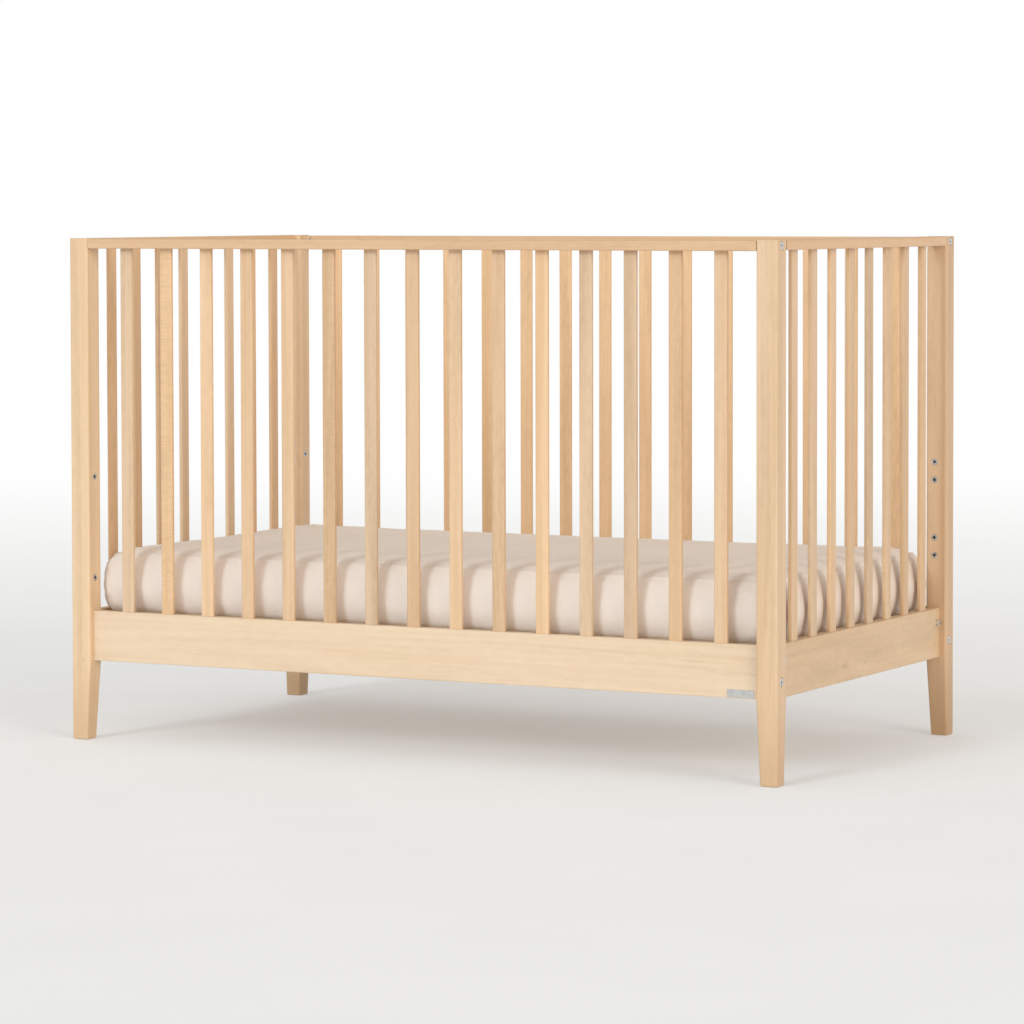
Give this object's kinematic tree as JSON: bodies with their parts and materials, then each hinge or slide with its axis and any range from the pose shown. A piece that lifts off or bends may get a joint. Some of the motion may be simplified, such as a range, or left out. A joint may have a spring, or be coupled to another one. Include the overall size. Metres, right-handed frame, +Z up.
{
  "type": "baby crib",
  "caption": "Four-post slatted wooden baby crib with tapered legs, a height-adjustable slatted mattress base and a mattress in a fitted sheet.",
  "frame": {"origin": "on the floor under the middle of the crib", "axes": "+X along the long front towards the right end, +Y from the front to the back, +Z up"},
  "size_m": [1.375, 0.773, 0.893],
  "materials": {
    "post_wood": "clear-lacquered beech, satin",
    "rail_wood": "clear-lacquered beech, satin",
    "slat_wood": "clear-lacquered beech, satin",
    "base_wood": "sanded pine and plywood, unfinished",
    "dowel_wood": "grooved beech dowel",
    "bolt_steel": "zinc-plated",
    "nut_steel": "zinc-plated",
    "insert_zinc": "die-cast zinc, bright",
    "plate_metal": "brushed, no marking",
    "mattress_ticking": "quilted white ticking",
    "cotton_sheet": "plain-weave cotton, warm beige"
  },
  "bodies": {
    "crib_frame": {"back_left_post": "post_wood", "back_lower_rail": "rail_wood", "back_right_post": "post_wood", "back_slats": "slat_wood", "back_top_rail": "rail_wood", "base_bolts": "bolt_steel", "blank_plate": "plate_metal", "front_left_post": "post_wood", "front_lower_rail": "rail_wood", "front_right_post": "post_wood", "front_slat_01": "slat_wood", "front_slat_02": "slat_wood", "front_slat_03": "slat_wood", "front_slat_04": "slat_wood", "front_slat_05": "slat_wood", "front_slat_06": "slat_wood", "front_slat_07": "slat_wood", "front_slat_08": "slat_wood", "front_slat_09": "slat_wood", "front_slat_10": "slat_wood", "front_slat_11": "slat_wood", "front_slat_12": "slat_wood", "front_slat_13": "slat_wood", "front_slat_14": "slat_wood", "front_slat_15": "slat_wood", "front_top_rail": "rail_wood", "guard_rail_inserts": "insert_zinc", "height_inserts": "insert_zinc", "left_lower_rail": "rail_wood", "left_slat_1": "slat_wood", "left_slat_2": "slat_wood", "left_slat_3": "slat_wood", "left_slat_4": "slat_wood", "left_slat_5": "slat_wood", "left_slat_6": "slat_wood", "left_slat_7": "slat_wood", "left_slat_8": "slat_wood", "left_top_rail": "rail_wood", "locating_dowels": "dowel_wood", "panel_barrel_nuts": "nut_steel", "panel_bolts": "bolt_steel", "right_lower_rail": "rail_wood", "right_slat_1": "slat_wood", "right_slat_2": "slat_wood", "right_slat_3": "slat_wood", "right_slat_4": "slat_wood", "right_slat_5": "slat_wood", "right_slat_6": "slat_wood", "right_slat_7": "slat_wood", "right_slat_8": "slat_wood", "right_top_rail": "rail_wood"},
    "mattress_base": {"base_back_rail": "base_wood", "base_barrel_nuts": "nut_steel", "base_centre_rail": "base_wood", "base_front_rail": "base_wood", "base_left_rail": "base_wood", "base_right_rail": "base_wood", "base_slats": "base_wood"},
    "mattress": {"mattress_core": "mattress_ticking", "fitted_sheet": "cotton_sheet"}
  },
  "joints": [
    {"name": "base_height", "type": "slide", "parent": "crib_frame", "child": "mattress_base", "axis": [0, 0, 1], "range_m": [0, 0.27]},
    {"name": "mattress_lift", "type": "slide", "parent": "mattress_base", "child": "mattress", "axis": [0, 0, 1], "range_m": [0, 0.7]}
  ]
}
